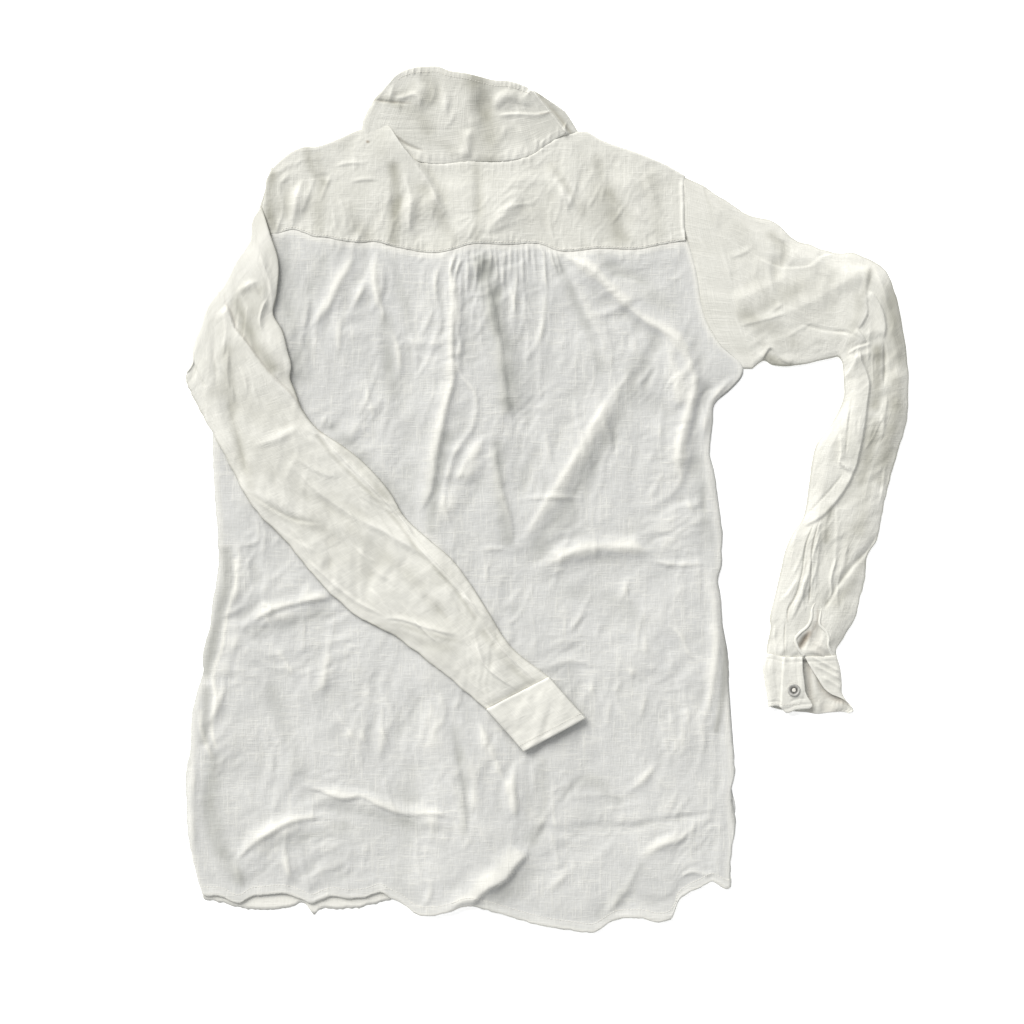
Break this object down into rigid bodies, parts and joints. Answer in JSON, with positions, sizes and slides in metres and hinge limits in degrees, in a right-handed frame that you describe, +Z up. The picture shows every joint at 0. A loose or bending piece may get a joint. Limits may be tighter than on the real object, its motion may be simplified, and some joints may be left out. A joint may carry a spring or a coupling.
{
  "type": "button-up shirt",
  "caption": "Long-sleeved linen button-up shirt, laid flat with its back up, collar turned up, one sleeve folded over the back, the other bent, with an open cuff.",
  "frame": {"origin": "middle of the laid-out shirt's bounding box, on the surface that it lies on", "axes": "+Y towards the collar, +Z up from the surface through the back, +X towards the wearer's right"},
  "size_m": [0.722, 0.8671, 0.0172],
  "materials": {
    "linen": "matte plain weave with slubs",
    "doubled_linen": "matte plain weave, two layers, topstitched",
    "button": "polished shell, grey with pale flecks"
  },
  "bodies": {
    "root": {"back": "linen", "yoke": "doubled_linen", "front_left": "linen", "front_right": "linen", "collar_stand": "doubled_linen", "collar_leaf": "doubled_linen", "sleeve_left": "linen", "sleeve_right": "linen", "cuff_left": "doubled_linen", "cuff_right": "doubled_linen", "vent_right": "doubled_linen", "button_cuff_right": "button", "button_cuff_left": "button", "button_front_1": "button", "button_front_2": "button", "button_front_3": "button", "button_front_4": "button", "button_front_5": "button", "button_front_6": "button", "button_front_7": "button"}
  },
  "joints": []
}
